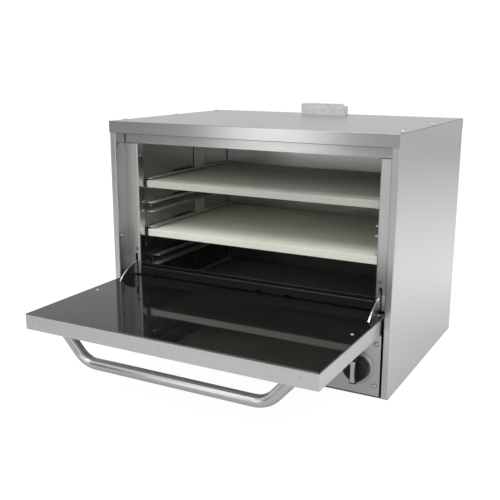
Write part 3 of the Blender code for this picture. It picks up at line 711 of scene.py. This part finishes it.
def make_stage():
    """A bright surround with one dark side, a pale floor, and three lamps."""
    world = bpy.data.worlds.new("studio")
    bpy.context.scene.world = world
    world.use_nodes = True
    tree = world.node_tree
    backdrop = tree.nodes["Background"]
    flag = sky(tree, DARK_FLAG, start=0.86, end=0.94, low=1.04, high=0.21)
    tree.links.new(flag, backdrop.inputs["Color"])
    backdrop.inputs["Strength"].default_value = 1.0
    bpy.context.scene.view_settings.view_transform = "Standard"
    pale = floor_finish("studio_floor", 0.12, front_glow=0.95, rear_glow=0.95)
    around = floor_finish("surround", 0.12, front_glow=1.0, rear_glow=1.0)
    for seen in (plain_floor("floor", -0.0005, pale), backdrop_dome(around)):
        seen.visible_glossy = seen.visible_diffuse = seen.visible_shadow = False
    dim = floor_finish("bounce_floor", 0.46, front_glow=0.07, rear_glow=0.56, far=0.52, near=0.80)
    bounce = plain_floor("floor_bounce", -0.001, dim)
    bounce.visible_camera = False
    area_light("softbox", (-1.20, -2.83, 1.0), aim=(0, -0.2, 0.4), size=(0.64, 2.2), power=7.6)
    area_light("key", (-0.9, -2.1, 2.7), aim=(0, -0.3, 0.3), size=(0.35, 0.35), power=15.5)
    area_light("overhead", (-0.4, -1.35, 3.0), aim=(0, -0.2, 0.3), size=(1.2, 0.3), power=28)


make_camera()
make_stage()

RIVETS = [at(x, DOOR_FRONT, RIVET_UP) for x in (-RIVET_X, 0.0, RIVET_X)]
RIVETS += [at(x, SIDE_RIVET_BACK, RIVET_UP) for x in (-DOOR_HALF, DOOR_HALF)]

# ---- materials of the oven's parts --------------------------------------------------------
# Painted shade dims the top edge of the cover's front lip. Painted light makes the stiles brighter on
# their folded flanges, which are also smoother.
painted_flange_light = Zone("Y", start=-0.2212, end=-0.2190, tone=1.1, matt=0.45, lowest=None)
painted_lip_shade = Zone("Y", start=-0.2611, end=-0.2615, tone=0.66, matt=1.0, lowest=0.5580)
upright = brushed("brushed_upright", 0.59, 0.28, "Z", wear=0.35, streak=0.3)
framing = brushed("brushed_stiles", 0.64, 0.28, "Z", wear=0.4, streak=0.3, zone=painted_flange_light)
level = brushed("brushed_level", 0.55, 0.25, "X", wear=0.7, streak=0.65)
panelled = brushed("brushed_panel", 0.53, 0.27, "X", wear=0.7)
skin = brushed("brushed_door", 0.56, 0.26, "X", wear=0.45, marks=RIVETS)
cover = brushed("brushed_cover", 0.54, 0.25, "X", edge=0.6, wear=0.45, streak=0.65, zone=painted_lip_shade)
tube = brushed("handle_tube", 0.47, 0.18, "X", wear=0.3, streak=0.0)
bezel = brushed("brushed_bezel", 0.44, 0.36, "X", wear=0.7)
bright = polished("polished_steel", 0.66, 0.26, 0.02)
# Painted light and shade: the cavity's walls, back, posts and rails are one steel set to different
# tones for the light each gets, the rails' upward faces carry a painted highlight, and each darkens
# towards the bottom as painted shade.
lining = painted_shade_steel("cavity_lining", 0.55, 0.28, dark=0.24)
rear_lining = painted_shade_steel("back_steel", 0.74, 0.28, dark=0.30, start=0.28, end=0.50)
channel = painted_shade_steel("rail_steel", 0.34, 0.24, dark=0.26, tops=2.9)
posts = painted_shade_steel("post_steel", 0.92, 0.50, dark=0.20)
# Painted shade: the sill is near black because little light reaches it.
painted_dark_sill = painted_shade_steel("sill_steel", 0.035, 0.45, dark=0.035, start=0.100, end=0.110)
mirror = enamel("black_liner")
zinc = plated("bright_zinc", 0.66, 0.22)
dull = plated("dull_zinc", 0.30, 0.36)
satin = plated("satin_metal", 0.66, 0.25)
cast = plated("cast_aluminium", 0.55, 0.42)
# partly painted highlight: the cut edges' pale tone stands for the light they catch as well as the bare
# metal
edge_highlight_metal = plated("cut_edge_highlight", 0.92, 0.34)
spangled = galvanised("galvanised_steel", 0.60)
# Painted light and shade: the three decks are one stone; their shades, darkest on the hearth, and their
# front-face factors stand for the light each gets.
cream = stone("deck_stone", 0.91, (1.10, 0.99))
shaded = stone("upper_stone", 0.98, (0.76, 0.69))
painted_dark_hearth = stone("hearth_stone", 0.25)
black = plastic("black_phenolic", (0.007, 0.007, 0.007), (0.014, 0.014, 0.013), 0.32, shine=0.25)
red = plastic("red_plastic", (0.42, 0.02, 0.015), (0.55, 0.035, 0.025), 0.40)
shadow = plastic("seam_shadow", (0.040, 0.040, 0.039), (0.070, 0.070, 0.068), 0.7)

RAILS = [f"rail_{k}_{side}" for k in range(1, 5) for side, _ in SIDES]
RAILS += ["hearth_rail_left", "hearth_rail_right"]
PANEL_SCREWS = [node for node in NODES if node.startswith("panel_screw")]
paint(upright, "side_panel_left", "side_panel_right")
paint(framing, "front_stile_left", "front_stile_right")
paint(level, "front_lintel")
paint(panelled, "control_panel")
paint(bezel, "knob_bezel")
paint(skin, "door_outer_skin")
paint(tube, "door_handle")
paint(cover, "top_cover")
paint(lining, "cavity_wall_left", "cavity_wall_right", "cavity_ceiling")
paint(rear_lining, "cavity_back")
paint(channel, *RAILS)
paint(posts, "wall_post_left", "wall_post_right")
paint(bright, "hinge_arm_left", "hinge_arm_right")
paint(painted_dark_sill, "front_sill")
paint(mirror, "door_liner")
paint(spangled, "base_pan", "back_panel", "chamber_front", "flue_duct", "flue_deflector",
      "gas_manifold")
paint(zinc, "hinge_pin_left", "hinge_pin_right", *PANEL_SCREWS)
paint(shaded, "deck_upper")
paint(cream, "deck_middle")
paint(painted_dark_hearth, "deck_hearth")
paint(wool("mineral_wool"), "insulation_left", "insulation_right", "insulation_top",
      "door_insulation")
paint(iron("cast_iron"), "burner_left", "burner_right", "gas_inlet_pipe")
paint(brass("drawn_brass"), "thermostat_bulb")
paint(cast, "thermostat_body", "safety_valve")
paint(black, "knob")
paint(red, "reset_button")
paint(satin, "knob_pointer", "thermostat_shaft", "pilot_burner")
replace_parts(pointer_plate(satin), "knob_pointer")

# ---- fasteners ----------------------------------------------------------------------------
cover_places = [at(s * COVER_SCREW_X, back, COVER_TOP)
                for _, s in SIDES for back in COVER_SCREW_BACKS]
rear_places = [at(s * REAR_SCREW_X, REAR_FACE, up) for _, s in SIDES for up in REAR_SCREW_UPS]
liner_places = [at(s * x, back, LINER_FACE) for _, s in SIDES for x, back in LINER_SCREWS]
panel_places = [at(s * PANEL_SCREW_X, 0.0, up) for _, s in SIDES for up in PANEL_SCREW_UPS]
return_places = {s: [at(s * RETURN_FACE, RETURN_SCREW_BACK, up) for up in RETURN_SCREW_UPS]
                 for _, s in SIDES}
stile_places = {s: [mirrored(STILE_SCREW, s)] for _, s in SIDES}

heads("cover_screws", cover_places, (0, 0, 1), zinc, "cabinet", COVER_HEAD, "plain")
heads("rear_screws", rear_places, (0, 1, 0), zinc, "cabinet", REAR_HEAD)
for side, s in SIDES:
    inward = (-s, 0, 0)
    heads("return_screws_" + side, return_places[s], inward, zinc, "cabinet", RETURN_HEAD)
    heads("stile_screw_" + side, stile_places[s], (0, -1, 0), dull, "cabinet", SMALL_HEAD)
    wall_places = [at(s * WALL_FACE, back, up) for back, up in WALL_SCREWS]
    wall_places += [mirrored(FRONT_WALL_SCREW, s)]
    heads("wall_screws_" + side, wall_places, inward, zinc, "cabinet", WALL_HEAD)
    heads("rail_screw_" + side, [mirrored(RAIL_SCREW, s)], inward, zinc, "cabinet", SMALL_HEAD)
heads("liner_screws", liner_places, (0, 0, 1), zinc, "door", LINER_HEAD)
for node in PANEL_SCREWS:
    s = -1 if "left" in node else 1
    up = PANEL_SCREW_UPS[0 if "lower" in node else 1]
    head = heads(node + "_head", [at(s * PANEL_SCREW_X, -0.0001, up)], (0, -1, 0), zinc, "cabinet",
                 PANEL_HEAD, "slot")
    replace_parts(head, node)

# ---- seams and cut edges ------------------------------------------------------------------
# Painted shadow: thin dark rings round the screw heads stand for the shade at their edges.
for name, places, direction, radius in (
        ("panel_shadow_rings", panel_places, (0, -1, 0), 0.0056),
        ("cover_shadow_rings", cover_places, (0, 0, 1), 0.0062),
        ("return_shadow_rings_left", return_places[-1], (1, 0, 0), 0.0052),
        ("return_shadow_rings_right", return_places[1], (-1, 0, 0), 0.0052),
        ("stile_shadow_rings", stile_places[-1] + stile_places[1], (0, -1, 0), 0.0044)):
    heads(name, places, direction, shadow, "cabinet", (radius, SHADOW_RING_HEIGHT), "plain")
seams("frame_seams", "cabinet", shadow,
      # painted shadow: under the cover's lip, beside the lintel, and over the stiles
      [strip(0, STILE_BEND, (-0.0003, 0.0008), COVER_LIP_UPS)]
      + [strip(s * STILE_BEND, 0.0003, (0.0362, 0.0375), (CAVITY_TOP, 0.5300)) for _, s in SIDES]
      + [strip(s * STILE_MIDDLE, STILE_HALF, (0.0376, 0.0389), (0.5046, CAVITY_TOP)) for _, s in SIDES])
seams("cavity_seams", "cabinet", shadow,
      # painted shadow: beside the wall posts, and in the rear corners
      [strip(s * POST_SEAM_X, 0.0006, (0.2960, 0.2979), (0.215, CAVITY_TOP)) for _, s in SIDES]
      + [strip(s * REAR_SEAM_X, 0.0006, (0.4787, 0.4797), (0.130, CAVITY_TOP)) for _, s in SIDES])
seams("liner_seam", "door", shadow,
      # painted shadow between the liner and the skin's folded rim, along the front and the sides
      [strip(0, LINER_HALF, (-0.32945, -0.3245), LINER_UPS)]
      + [strip(s * LINER_SIDE, 0.0011, (-0.3293, 0.020), LINER_UPS) for _, s in SIDES])
fillers = [strip(s * STILE_BEND - 0.0001, 0.0009, (0.0384, 0.0389), (0.1815, 0.5045))
           for _, s in SIDES]
seams("stile_fillers", "cabinet", framing, fillers)
for k, (top, front) in enumerate(zip(RAIL_TOPS, RAIL_FRONTS), 1):
    for side, s in SIDES:
        rail_edges(f"rail_{k}_edges_{side}", s, top, front, edge_highlight_metal)
for side, s in SIDES:
    # the lips that narrow the vents over the rails
    lips = [strip(s * VENT_LIP_X, 0.0005, VENT, [top + up for up in VENT_LIP_UPS]) for top in RAIL_TOPS]
    seams("vent_lips_" + side, "cabinet", lining, lips)

# ---- softened edges -----------------------------------------------------------------------
round_edges(0.0010, 2, 50, "door_outer_skin")
round_edges(0.0004, 2, 50, "control_panel")
round_edges(0.0004, 2, 50, "front_stile_left", "front_stile_right", "front_lintel")
round_edges(0.0003, 1, 50, "top_cover", "flue_deflector", "hinge_arm_left", "hinge_arm_right")
round_edges(0.0010, 2, 50, "deck_upper", "deck_middle", "deck_hearth")
